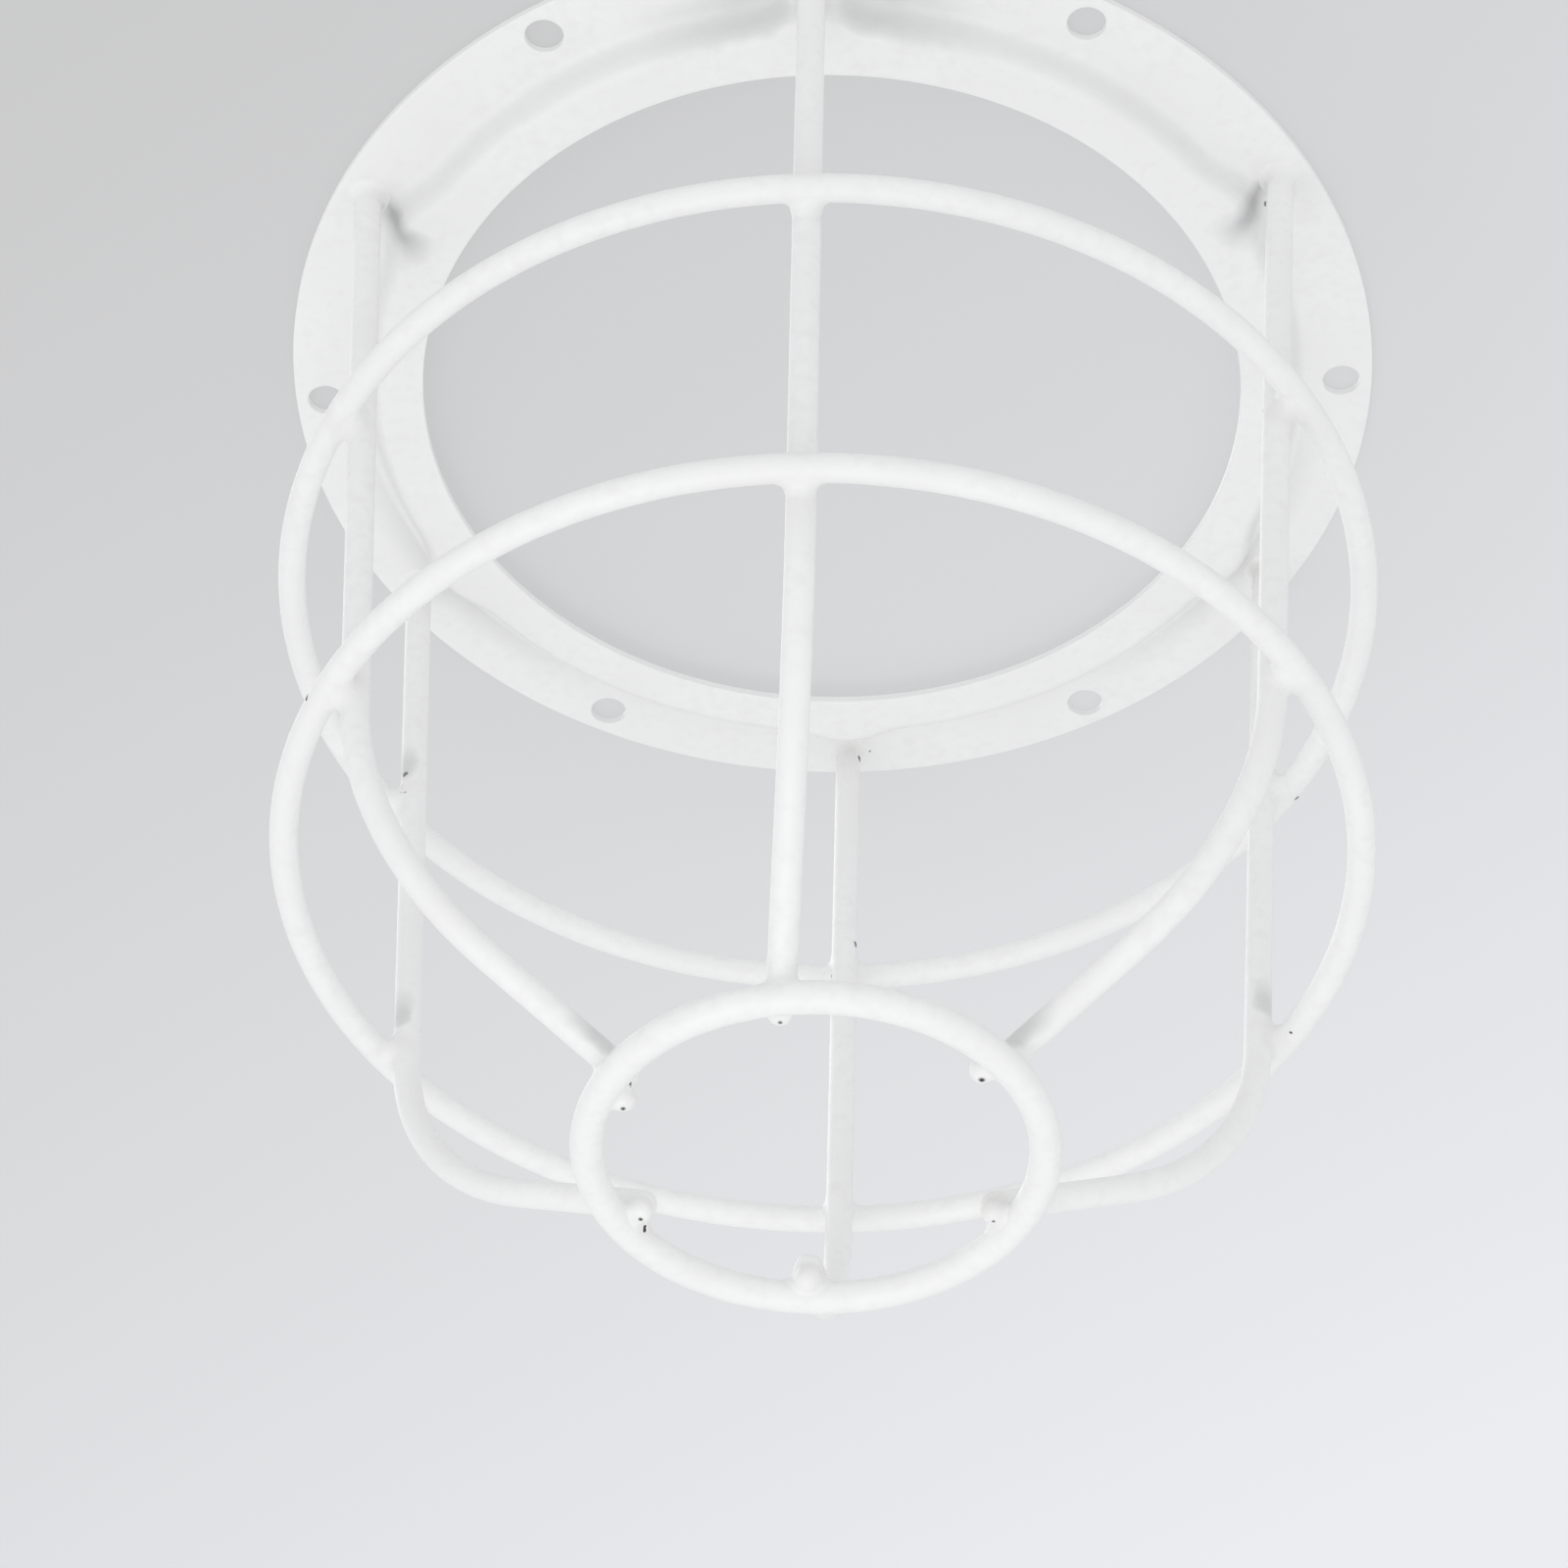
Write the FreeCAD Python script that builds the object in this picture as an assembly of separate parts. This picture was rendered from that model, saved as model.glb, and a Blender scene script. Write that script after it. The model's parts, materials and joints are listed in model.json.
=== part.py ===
"""Bulb cage guard: a pressed flange for the ceiling, six bent wire ribs standing on it,
two hoops welded round the ribs and a small ring under the rib ends.

The origin is the centre of the flange's mounting face. +Z points up to the ceiling and the
cage hangs below, so every depth is measured down from the mounting face. Millimetres.
"""
import FreeCAD, Part
import math
import os

V = FreeCAD.Vector

# Mounting flange, from the outside in: flat rim, soft step, flat lip round the opening
flange_outer_diameter = 205.0
flange_sheet = 1.5
rim_width = 11.5
step_width = 6.5
step_drop = 5.0
lip_width = 7.0
bolt_hole_diameter = 7.0
sheared_edge_round = 0.4

# Bays: behind each rib's foot the step swings out round a lip-deep pan; the pan lies a little above the lip
bay_radius = 15.0
bay_step_width = 6.5
bay_rib_gap = 0.5
bay_raise = 0.15

# Ribs of round wire
rib_count = 6
rib_wire_diameter = 5.0
rib_lean_degrees = 4.1
rib_knee_depth = 161.5
rib_bend_radius = 52.0
rib_tip_overhang = 3.5
rib_tip_round = 1.5

# Small turns of single ribs about their own straight part, as the welder left them; rib 1 stands on -Y
rib_turn_degrees = {1: 5.0, 2: -1.0, 3: -2.0, 4: -3.0, 6: 2.0}

# Hoops of round wire, outside the ribs
hoop_wire_diameter = 5.0
upper_hoop_depth = 64.0
lower_hoop_depth = 129.5

# End ring, below the rib ends; its diameter is taken at the middle of the wire
end_ring_diameter = 74.5
end_ring_wire_diameter = 5.5
end_ring_depth = 192.5

# How far the rib gives way to a wire that is welded across it
weld_set_down = 0.3

# Radii and directions that follow from the sizes above
flange_outer_radius = flange_outer_diameter / 2
rim_inner_radius = flange_outer_radius - rim_width
lip_outer_radius = rim_inner_radius - step_width
opening_radius = lip_outer_radius - lip_width
foot_radius = flange_outer_radius - rim_width / 2
rib_radius = rib_wire_diameter / 2
bay_distance = foot_radius - rib_radius - bay_rib_gap - bay_radius
end_ring_radius = end_ring_diameter / 2
rib_pitch_degrees = 360.0 / rib_count
first_rib_degrees = -90.0
lean = math.radians(rib_lean_degrees)
hoop_offset = (rib_wire_diameter + hoop_wire_diameter) / 2 - weld_set_down
ring_offset = (rib_wire_diameter + end_ring_wire_diameter) / 2 - weld_set_down


def point(radius, height):
    """Point of the upright plane through the axis and +X, by its distance from the axis and its height."""
    return V(radius, 0, height)


def turned(shape, degrees):
    """Copy of a shape, turned about the cage's axis."""
    copy = shape.copy()
    copy.rotate(V(0, 0, 0), V(0, 0, 1), degrees)
    return copy


def arc_about(centre, radius, start, end):
    """Arc in the upright plane, between two angles in radians."""
    at = [
        centre + V(radius * math.cos(angle), 0, radius * math.sin(angle))
        for angle in (start, (start + end) / 2, end)
    ]
    return Part.Arc(*at).toShape()


def revolved(edges):
    """Solid of revolution about the cage's axis, from a closed outline in the upright plane."""
    face = Part.Face(Part.Wire(edges))
    return face.revolve(V(0, 0, 0), V(0, 0, 1), 360)


def polyline(*points):
    """Straight edges through the given points."""
    return [Part.makeLine(a, b) for a, b in zip(points, points[1:])]


def step_arcs(outer_radius, width, face_height, upper_arc_change):
    """An S-shaped step of one face of the sheet, inwards from an outer radius, as two tangent arcs.

    face_height is that face's height outside the step. Both arcs keep the step's turn, and the change
    of radius from the middle of the sheet is added to the upper one and taken off the lower one.
    """
    middle_radius = (width ** 2 + step_drop ** 2) / (4 * step_drop)
    turn = 2 * math.atan(step_drop / width)
    upper_radius = middle_radius + upper_arc_change
    lower_radius = middle_radius - upper_arc_change
    upper_centre = point(outer_radius, face_height - upper_radius)
    lower_centre = point(outer_radius - width, face_height - step_drop + lower_radius)
    quarter = math.pi / 2
    return [
        arc_about(upper_centre, upper_radius, quarter, quarter + turn),
        arc_about(lower_centre, lower_radius, turn - quarter, -quarter),
    ]


def bay(top, face_height, upper_arc_change):
    """Round pan under a level top, with an S-shaped side, on the +X side of the flange."""
    floor = face_height - step_drop
    pan = revolved(
        polyline(point(0, top), point(bay_radius, top), point(bay_radius, face_height))
        + step_arcs(bay_radius, bay_step_width, face_height, upper_arc_change)
        + polyline(point(bay_radius - bay_step_width, floor), point(0, floor), point(0, top)))
    pan.translate(point(bay_distance, 0))
    return pan


def round_sheared_edges(sheet):
    """Round the circles where the sheet was cut, outside the rim and round the opening."""
    circles = [edge for edge in sheet.Edges if isinstance(edge.Curve, Part.Circle)]
    sheared = [
        circle for circle in circles
        if any(math.isclose(circle.Curve.Radius, radius) for radius in (flange_outer_radius, opening_radius))
    ]
    return sheet.makeFillet(min(sheared_edge_round, 0.45 * flange_sheet), sheared)


def mounting_flange():
    """Pressed ring: everything above its lower face, less the hollow above its upper face."""
    lower_arcs = step_arcs(rim_inner_radius, step_width, -flange_sheet, -flange_sheet / 2)
    upper_arcs = step_arcs(rim_inner_radius, step_width, 0, flange_sheet / 2)
    lip_bottom = -flange_sheet - step_drop
    body = revolved(
        polyline(point(opening_radius, 0), point(flange_outer_radius, 0),
                 point(flange_outer_radius, -flange_sheet), point(rim_inner_radius, -flange_sheet))
        + lower_arcs
        + polyline(point(lip_outer_radius, lip_bottom), point(opening_radius, lip_bottom),
                   point(opening_radius, 0)))
    inside = opening_radius - lip_width
    hollow = revolved(
        upper_arcs
        + polyline(point(lip_outer_radius, -step_drop), point(inside, -step_drop),
                   point(inside, flange_sheet), point(rim_inner_radius, flange_sheet),
                   point(rim_inner_radius, 0)))
    bulge = bay(-flange_sheet / 2, bay_raise - flange_sheet, -flange_sheet / 2)
    pocket = bay(flange_sheet, bay_raise, flange_sheet / 2)
    opening = Part.makeCylinder(opening_radius, 2 * step_drop, point(0, flange_sheet - 2 * step_drop))
    hole = Part.makeCylinder(bolt_hole_diameter / 2, 3 * flange_sheet, V(foot_radius, 0, -2 * flange_sheet))
    rib_angles = [first_rib_degrees + rib_pitch_degrees * k for k in range(rib_count)]
    hole_angles = [angle + rib_pitch_degrees / 2 for angle in rib_angles]
    body = body.fuse([turned(bulge, angle) for angle in rib_angles])
    body = body.cut([hollow, opening] + [turned(pocket, angle) for angle in rib_angles])
    body = body.cut([turned(hole, angle) for angle in hole_angles]).removeSplitter()
    return round_sheared_edges(body)


def rib_path():
    """The rib's centreline in the upright plane: foot, bend start, bend centre, bend end, tip."""
    foot = point(foot_radius, 0)
    knee = point(foot_radius - rib_knee_depth * math.tan(lean), -rib_knee_depth)
    ring = point(end_ring_radius, -end_ring_depth)
    to_ring = ring - knee
    leg_angle = math.atan2(to_ring.z, to_ring.x) - math.asin(ring_offset / to_ring.Length)
    leg = V(math.cos(leg_angle), 0, math.sin(leg_angle))
    post = (foot - knee).normalize()
    half_angle = post.getAngle(leg) / 2
    tangent_length = rib_bend_radius / math.tan(half_angle)
    centre = knee + (post + leg).normalize() * (rib_bend_radius / math.sin(half_angle))
    seat = math.sqrt(to_ring.Length ** 2 - ring_offset ** 2)
    return (foot, knee + post * tangent_length, centre, knee + leg * tangent_length,
            knee + leg * (seat + rib_tip_overhang))


def rib_blank(turn):
    """Bent wire with a rounded tip, turned about its straight part and cut level on the rim."""
    foot, bend_start, centre, bend_end, tip = rib_path()
    outwards = (bend_start - centre).normalize() + (bend_end - centre).normalize()
    bend_middle = centre + outwards.normalize() * rib_bend_radius
    path = Part.Wire([
        Part.makeLine(foot, bend_start),
        Part.Arc(bend_start, bend_middle, bend_end).toShape(),
        Part.makeLine(bend_end, tip),
    ])
    section = Part.Wire(Part.makeCircle(rib_radius, foot, bend_start - foot))
    wire = path.makePipeShell([section], True, True)
    tip_edge = min(wire.Edges, key=lambda edge: (edge.CenterOfMass - tip).Length)
    wire = wire.makeFillet(min(rib_tip_round, 0.9 * rib_radius), [tip_edge])
    wire.rotate(foot, foot - bend_start, turn)
    reach = 4 * rib_wire_diameter
    above_rim = Part.makeBox(2 * reach, 2 * reach, reach, V(foot_radius - reach, -reach, -flange_sheet))
    return wire.cut(above_rim)


def hoop(depth):
    """Hoop lying against the outside of the ribs at a depth, on their straight part or on their bend."""
    _, bend_start, centre, _, _ = rib_path()
    height = -depth
    radius = foot_radius + height * math.tan(lean) + hoop_offset / math.cos(lean)
    if height < bend_start.z + hoop_offset * math.sin(lean):
        reach = rib_bend_radius + hoop_offset
        radius = centre.x + math.sqrt(reach ** 2 - (height - centre.z) ** 2)
    return Part.makeTorus(radius, hoop_wire_diameter / 2, point(0, height))


upper_hoop = hoop(upper_hoop_depth)
lower_hoop = hoop(lower_hoop_depth)
end_ring = Part.makeTorus(end_ring_radius, end_ring_wire_diameter / 2, point(0, -end_ring_depth))

pieces = {
    "mounting_flange": mounting_flange(),
    "upper_hoop": upper_hoop,
    "lower_hoop": lower_hoop,
    "end_ring": end_ring,
}
for number in range(1, rib_count + 1):
    rib = rib_blank(rib_turn_degrees.get(number, 0)).cut([upper_hoop, lower_hoop, end_ring])
    pieces[f"rib_{number}"] = turned(rib, first_rib_degrees + rib_pitch_degrees * (number - 1))

os.makedirs("parts", exist_ok=True)
for name, shape in pieces.items():
    shape.exportStep(f"parts/{name}.step")
    print(name, len(shape.Solids), "valid", shape.isValid(), "volume", round(shape.Volume, 1))
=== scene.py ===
# %% [markdown]
# # A wire cage guard for the ceiling
# This lesson dresses the guard's solid model: thick white paint, weld metal at the crossings, and a pale
# ceiling under soft light. Every length is in metres, in the same frame as the solids. The origin is the
# middle of the mounting face, +Z points up into the ceiling, and the cage hangs below.

# %% Load the solids
import bpy
import json
import math
from mathutils import Matrix, Vector


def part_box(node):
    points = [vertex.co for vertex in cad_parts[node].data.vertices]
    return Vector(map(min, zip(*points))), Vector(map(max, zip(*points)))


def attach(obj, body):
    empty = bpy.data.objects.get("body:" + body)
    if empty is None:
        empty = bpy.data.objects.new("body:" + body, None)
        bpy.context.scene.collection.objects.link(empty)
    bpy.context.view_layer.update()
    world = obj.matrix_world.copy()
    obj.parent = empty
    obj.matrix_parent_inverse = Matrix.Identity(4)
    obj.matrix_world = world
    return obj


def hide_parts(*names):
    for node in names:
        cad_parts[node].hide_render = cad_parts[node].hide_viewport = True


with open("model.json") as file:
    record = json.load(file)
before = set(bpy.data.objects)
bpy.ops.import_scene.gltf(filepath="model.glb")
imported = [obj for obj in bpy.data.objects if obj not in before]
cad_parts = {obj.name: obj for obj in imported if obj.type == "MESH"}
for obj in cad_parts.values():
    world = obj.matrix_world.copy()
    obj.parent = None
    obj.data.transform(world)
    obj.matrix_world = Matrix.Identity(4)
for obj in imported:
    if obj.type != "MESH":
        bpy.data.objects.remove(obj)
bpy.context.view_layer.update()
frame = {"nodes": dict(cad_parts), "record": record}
MM = 0.001
ribs = sorted(name for name in frame["nodes"] if name.startswith("rib_"))
print("solids:", len(frame["nodes"]), "of which ribs:", len(ribs))

# %% [markdown]
# ## Sizes, read from the solids
# A hoop's box gives its wire (the box's height) and its circle (half the box's width, less half a wire).
# Reading them keeps the looks in step with the solids when a size changes. The bend of a rib and the step
# of the flange can't be read from a box, so those few sizes are written here.

# %% Read the wire sizes
RIB_COUNT = len(ribs)
RIB_PITCH = 2 * math.pi / RIB_COUNT
FIRST_RIB = -math.pi / 2
RIB_LEAN = math.radians(4.1)
RIB_KNEE_DEPTH = 161.5 * MM
RIB_BEND_RADIUS = 52.0 * MM
RIB_TIP_OVERHANG = 3.5 * MM
RIB_TURN_DEGREES = {1: 5.0, 2: -1.0, 3: -2.0, 4: -3.0, 6: 2.0}
WELD_SET_DOWN = 0.3 * MM


def ring_sizes(node):
    """Wire radius, circle radius and height of a wire ring that lies level."""
    low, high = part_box(node)
    wire = (high.z - low.z) / 2
    return wire, high.x - wire, (high.z + low.z) / 2


bolts = next(mount for mount in frame["record"]["mounts"] if mount["name"] == "ceiling_bolts")
foot_radius = bolts["dims"]["pcd_mm"] / 2 * MM
hole_radius = bolts["dims"]["hole_r_mm"] * MM
# Rib 1's leg swings towards -X, so the +X side of its box is the straight wire's own radius
rib_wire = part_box("rib_1")[1].x
rim_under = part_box("rib_1")[1].z
upper_wire, upper_radius, upper_height = ring_sizes("upper_hoop")
lower_wire, lower_radius, lower_height = ring_sizes("lower_hoop")
end_wire, end_radius, end_height = ring_sizes("end_ring")
print(f"rib wire {2 * rib_wire / MM:.1f} mm, hoop wire {2 * upper_wire / MM:.1f} mm, "
      f"end ring wire {2 * end_wire / MM:.1f} mm, rim under side at {rim_under / MM:.1f} mm")

# %% [markdown]
# ## Where a rib runs
# A rib is one straight wire with a single bend, so three points say all there is to know: its foot on the
# flange, its knee, and its tip on the end ring. The leg from the knee just touches the ring's wire, so it
# is a tangent to a circle round that wire. Each rib was also set a little askew by hand: it is turned by a
# few degrees about its own straight part, which swings only the tip.


# %% The rib's points
def rib_points():
    """Foot, knee, seat on the end ring and tip of a rib in its own upright plane."""
    foot = Vector((foot_radius, 0, 0))
    knee = Vector((foot_radius - RIB_KNEE_DEPTH * math.tan(RIB_LEAN), 0, -RIB_KNEE_DEPTH))
    to_ring = Vector((end_radius, 0, end_height)) - knee
    clearance = rib_wire + end_wire - WELD_SET_DOWN
    slope = math.atan2(to_ring.z, to_ring.x) - math.asin(clearance / to_ring.length)
    leg = Vector((math.cos(slope), 0, math.sin(slope)))
    seat = knee + leg * math.sqrt(to_ring.length_squared - clearance ** 2)
    return foot, knee, seat, seat + leg * RIB_TIP_OVERHANG


rib_foot, rib_knee, rib_seat, rib_tip = rib_points()


def askew(place, number):
    """Where a point of a rib goes when the rib is turned about its straight part."""
    turn = math.radians(RIB_TURN_DEGREES.get(number, 0))
    return rib_knee + Matrix.Rotation(turn, 3, rib_foot - rib_knee) @ (place - rib_knee)


def on_rib(height):
    """Point of a rib's straight part at a height, in its own plane."""
    return rib_foot.lerp(rib_knee, -height / RIB_KNEE_DEPTH)


def rib_angle(number):
    """Where a rib stands round the axis; ribs are counted from one."""
    return FIRST_RIB + (number - 1) * RIB_PITCH


def beside_rib(along, across, number, height=0.0):
    """Point at a distance from the axis, beside a rib's plane, at a height."""
    return Matrix.Rotation(rib_angle(number), 3, "Z") @ Vector((along, across, height))


print(f"rib tip at radius {rib_tip.x / MM:.1f} mm, depth {-rib_tip.z / MM:.1f} mm")

# %% [markdown]
# ## A short way to write node trees
# Shader and geometry trees are both nodes joined by links. A few small helpers keep the cells below short:
# one adds a node and fills its inputs, and takes a link wherever it is handed an output socket. The others
# wrap the most used nodes, so that a tree reads like a formula.

# %% Node helpers
FLOAT, VECTOR, COLOUR = "NodeSocketFloat", "NodeSocketVector", "NodeSocketColor"
INTEGER, SWITCH = "NodeSocketInt", "NodeSocketBool"
MATERIAL, GEOMETRY = "NodeSocketMaterial", "NodeSocketGeometry"


def add_node(tree, kind, inputs=None, **settings):
    """Add a node, set its properties, then fill its inputs with values or with links."""
    node = tree.nodes.new(kind)
    for name, value in settings.items():
        setattr(node, name, value)
    for key, value in (inputs or {}).items():
        if isinstance(value, bpy.types.NodeSocket):
            tree.links.new(value, node.inputs[key])
        else:
            node.inputs[key].default_value = value
    return node


def node_out(tree, kind, inputs=None, **settings):
    """Add a node in the same way and give its first output."""
    return add_node(tree, kind, inputs, **settings).outputs[0]


def new_group(name, kind, inputs=(), outputs=()):
    """An empty node group with named sockets; gives the tree, its input sockets and its output node."""
    tree = bpy.data.node_groups.new(name, kind)
    for socket_name, socket_kind, default in inputs:
        socket = tree.interface.new_socket(socket_name, in_out="INPUT", socket_type=socket_kind)
        if default is not None:
            socket.default_value = default
    for socket_name, socket_kind in outputs:
        tree.interface.new_socket(socket_name, in_out="OUTPUT", socket_type=socket_kind)
    entry = tree.nodes.new("NodeGroupInput")
    return tree, entry.outputs, tree.nodes.new("NodeGroupOutput")


print("node helpers ready")


# %% Formula helpers
def calculate(tree, operation, *values):
    """A Math node's result."""
    return node_out(tree, "ShaderNodeMath", dict(enumerate(values)), operation=operation)


def combine(tree, operation, *values):
    """A Vector Math node's result: a vector, or a number for a length, a distance or a dot product."""
    node = add_node(tree, "ShaderNodeVectorMath", dict(enumerate(values)), operation=operation)
    is_number = operation in ("LENGTH", "DISTANCE", "DOT_PRODUCT")
    return node.outputs["Value" if is_number else "Vector"]


def times(tree, first, second):
    """Two numbers multiplied."""
    return calculate(tree, "MULTIPLY", first, second)


def minus(tree, first, second):
    """The first number less the second."""
    return calculate(tree, "SUBTRACT", first, second)


def apart(tree, first, second):
    """Distance between two places."""
    return combine(tree, "DISTANCE", first, second)


def scaled(tree, vector, factor):
    """A vector times a number."""
    inputs = {0: vector, "Scale": factor}
    return node_out(tree, "ShaderNodeVectorMath", inputs, operation="SCALE")


def join_axes(tree, x=0.0, y=0.0, z=0.0):
    """A vector from its three parts."""
    return node_out(tree, "ShaderNodeCombineXYZ", {0: x, 1: y, 2: z})


def split_axes(tree, vector):
    """The three parts of a vector."""
    return add_node(tree, "ShaderNodeSeparateXYZ", {0: vector}).outputs


def spread(tree, value, low, high):
    """Map low to 0 and high to 1, and stop there."""
    return node_out(tree, "ShaderNodeMapRange", {0: value, 1: low, 2: high})


def noise(tree, place, scale, detail):
    """Smooth noise about 0.5, with about as many lumps in a unit of length as its scale says."""
    inputs = {"Vector": place, "Scale": scale, "Detail": detail}
    return add_node(tree, "ShaderNodeTexNoise", inputs).outputs["Fac"]


def mixed(tree, share, first, second):
    """A colour on the way from the first to the second."""
    inputs = {0: share, 6: first, 7: second}
    return add_node(tree, "ShaderNodeMix", inputs, data_type="RGBA").outputs[2]


def segment_distance(tree, place, start, end):
    """Distance from a place to the straight line between two points."""
    line = combine(tree, "SUBTRACT", end, start)
    from_start = combine(tree, "SUBTRACT", place, start)
    along = calculate(tree, "DIVIDE", combine(tree, "DOT_PRODUCT", from_start, line),
                      combine(tree, "DOT_PRODUCT", line, line))
    along = calculate(tree, "MINIMUM", calculate(tree, "MAXIMUM", along, 0), 1)
    return apart(tree, from_start, scaled(tree, line, along))


print("formula helpers ready")

# %% [markdown]
# ## Where the welds are
# Grime with painted shade, and chipped paint, gather at the welds, so the paint needs to know how far a
# point is from the nearest one. The guard looks the same after a sixth of a turn. Folding the angle about
# the axis into one rib's share therefore brings all the welds of a ring onto one point, and a distance does
# the rest.

# %% Weld places and their shader group
upper_weld = Vector((upper_radius - upper_wire, 0, upper_height))
lower_weld = Vector((lower_radius - lower_wire, 0, lower_height))
foot_weld = Vector((foot_radius - rib_wire, 0, rim_under))
weld_places = [upper_weld, lower_weld, rib_tip, foot_weld]


def weld_distance_group():
    """Distance, in metres, from the shaded point to the nearest weld."""
    tree, _, out = new_group("distance_to_weld", "ShaderNodeTree", outputs=[("Distance", FLOAT)])
    x, y, z = split_axes(tree, add_node(tree, "ShaderNodeTexCoord").outputs["Object"])
    angle = minus(tree, calculate(tree, "ARCTAN2", y, x), FIRST_RIB)
    half = RIB_PITCH / 2
    wrapped = calculate(tree, "FLOORED_MODULO", calculate(tree, "ADD", angle, half), RIB_PITCH)
    folded = minus(tree, wrapped, half)
    radius = combine(tree, "LENGTH", join_axes(tree, x, y))
    point = join_axes(tree, times(tree, radius, calculate(tree, "COSINE", folded)),
                      times(tree, radius, calculate(tree, "SINE", folded)), z)
    nearest = apart(tree, point, tuple(weld_places[0]))
    for weld_place in weld_places[1:]:
        nearest = calculate(tree, "MINIMUM", nearest, apart(tree, point, tuple(weld_place)))
    tree.links.new(nearest, out.inputs[0])
    return tree


weld_distance = weld_distance_group()
print("welds per rib:", len(weld_places))

# %% [markdown]
# ## Thick white paint
# The guard is brushed in white enamel, and has been painted over more than once. Such paint isn't one flat
# white: it is warmer and greyer in patches, it lies in soft lumps, and at the welds it has come off in small
# pits, where dark steel shows. Noise gives the patches and the lumps. The pits come from Voronoi cells: each
# draws a random number, and a high one makes a pit. Away from the welds the limit is out of reach, and close
# to one it drops, so all pits lie there. Faces that look up have none.

# %% Pits in the paint
PIT_CELL = 2.4 * MM
PIT_RADIUS = 0.28
PIT_FLOOR_SHARE = 0.7
PIT_CHANCE = 0.06
PIT_EDGE_SCALE = 1500
PIT_EDGE_WANDER = 0.3
PIT_UP_LIMIT = 0.6
UP_SOFTNESS = 0.2


def normal_rise(tree):
    """How far a face's normal points up: one if it looks up, minus one if it looks down."""
    return split_axes(tree, add_node(tree, "ShaderNodeNewGeometry").outputs["Normal"])[2]


def looking_down(tree, limit):
    """One on a face that looks down into the room, nothing where the normal rises above a limit."""
    return spread(tree, minus(tree, normal_rise(tree), limit), 0, -UP_SOFTNESS)


def pit_mask(tree, place, closeness):
    """One inside a pit and nothing beside it; closeness says how near a weld is."""
    cells = add_node(tree, "ShaderNodeTexVoronoi", {"Vector": place, "Scale": 1 / PIT_CELL}).outputs
    draw = split_axes(tree, cells["Color"])[0]
    limit = minus(tree, 1, times(tree, closeness, PIT_CHANCE))
    chosen = calculate(tree, "GREATER_THAN", draw, limit)
    wander = minus(tree, noise(tree, place, PIT_EDGE_SCALE, 0), 0.5)
    ragged = calculate(tree, "MULTIPLY_ADD", wander, PIT_EDGE_WANDER, cells["Distance"])
    hollow = spread(tree, ragged, PIT_RADIUS, PIT_FLOOR_SHARE * PIT_RADIUS)
    return times(tree, times(tree, chosen, hollow), looking_down(tree, PIT_UP_LIMIT))


print(f"pits up to {2 * PIT_RADIUS * PIT_CELL / MM:.1f} mm wide")

# %% The paint's shader group
STEEL = (0.05, 0.045, 0.04, 1)
WELD_CORE = 2 * MM
# Scale and detail of a noise, and the values between which the effect comes in
PATCHES = 38, 2, 0.42, 0.75
MOTTLING = 420, 1, 0.42, 0.72
WELD_GRIME_AND_SHADE = 160, 1, 0.45, 0.75
PATCH_SHARE = 0.4
LUMP_SCALE, LUMP_SHARE = 170, 0.7
GRAIN_SCALE, GRAIN_SHARE = 900, 0.1
PAINT_ROUGHNESS, AGED_ROUGHNESS, STEEL_ROUGHNESS = 0.42, 0.15, 0.3
PIT_ATTRIBUTE = "pit"


def blotches(tree, place, scale, detail, low, high):
    """Nothing where a noise is low, one where it is high."""
    return spread(tree, noise(tree, place, scale, detail), low, high)


def paint_group():
    """Colour, roughness and height of the thick paint, with patches, grime and painted shade by the welds,
    and pits.
    """
    tree, entry, out = new_group(
        "thick_paint", "ShaderNodeTree",
        inputs=[("Clean Colour", COLOUR, None), ("Aged Colour", COLOUR, None),
                ("Weld Reach", FLOAT, 8 * MM)],
        outputs=[("Colour", COLOUR), ("Roughness", FLOAT), ("Height", FLOAT)])
    place = add_node(tree, "ShaderNodeTexCoord").outputs["Object"]
    to_weld = node_out(tree, "ShaderNodeGroup", node_tree=weld_distance)
    closeness = spread(tree, to_weld, entry["Weld Reach"], WELD_CORE)
    patches = blotches(tree, place, *PATCHES)
    mottling = blotches(tree, place, *MOTTLING)
    # Greyer blotches near the welds: grime, with painted shade in the crossings.
    grime_and_shade = times(tree, closeness, blotches(tree, place, *WELD_GRIME_AND_SHADE))
    aged_and_shaded = times(tree, calculate(tree, "MAXIMUM", patches, mottling), PATCH_SHARE)
    aged_and_shaded = calculate(tree, "MAXIMUM", aged_and_shaded, grime_and_shade)
    drop_pit = add_node(tree, "ShaderNodeAttribute", attribute_name=PIT_ATTRIBUTE).outputs["Fac"]
    pit = calculate(tree, "MAXIMUM", pit_mask(tree, place, closeness), drop_pit)
    paint = mixed(tree, aged_and_shaded, entry["Clean Colour"], entry["Aged Colour"])
    lumps = times(tree, noise(tree, place, LUMP_SCALE, 1), LUMP_SHARE)
    height = calculate(tree, "MULTIPLY_ADD", noise(tree, place, GRAIN_SCALE, 0), GRAIN_SHARE, lumps)
    roughness = calculate(tree, "MULTIPLY_ADD", aged_and_shaded, AGED_ROUGHNESS, PAINT_ROUGHNESS)
    roughness = calculate(tree, "MULTIPLY_ADD", pit, STEEL_ROUGHNESS, roughness)
    tree.links.new(mixed(tree, pit, paint, STEEL), out.inputs["Colour"])
    tree.links.new(roughness, out.inputs["Roughness"])
    tree.links.new(height, out.inputs["Height"])
    return tree


paint_skin = paint_group()
print("paint group:", paint_skin.name, "with", len(paint_skin.nodes), "nodes")
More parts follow.
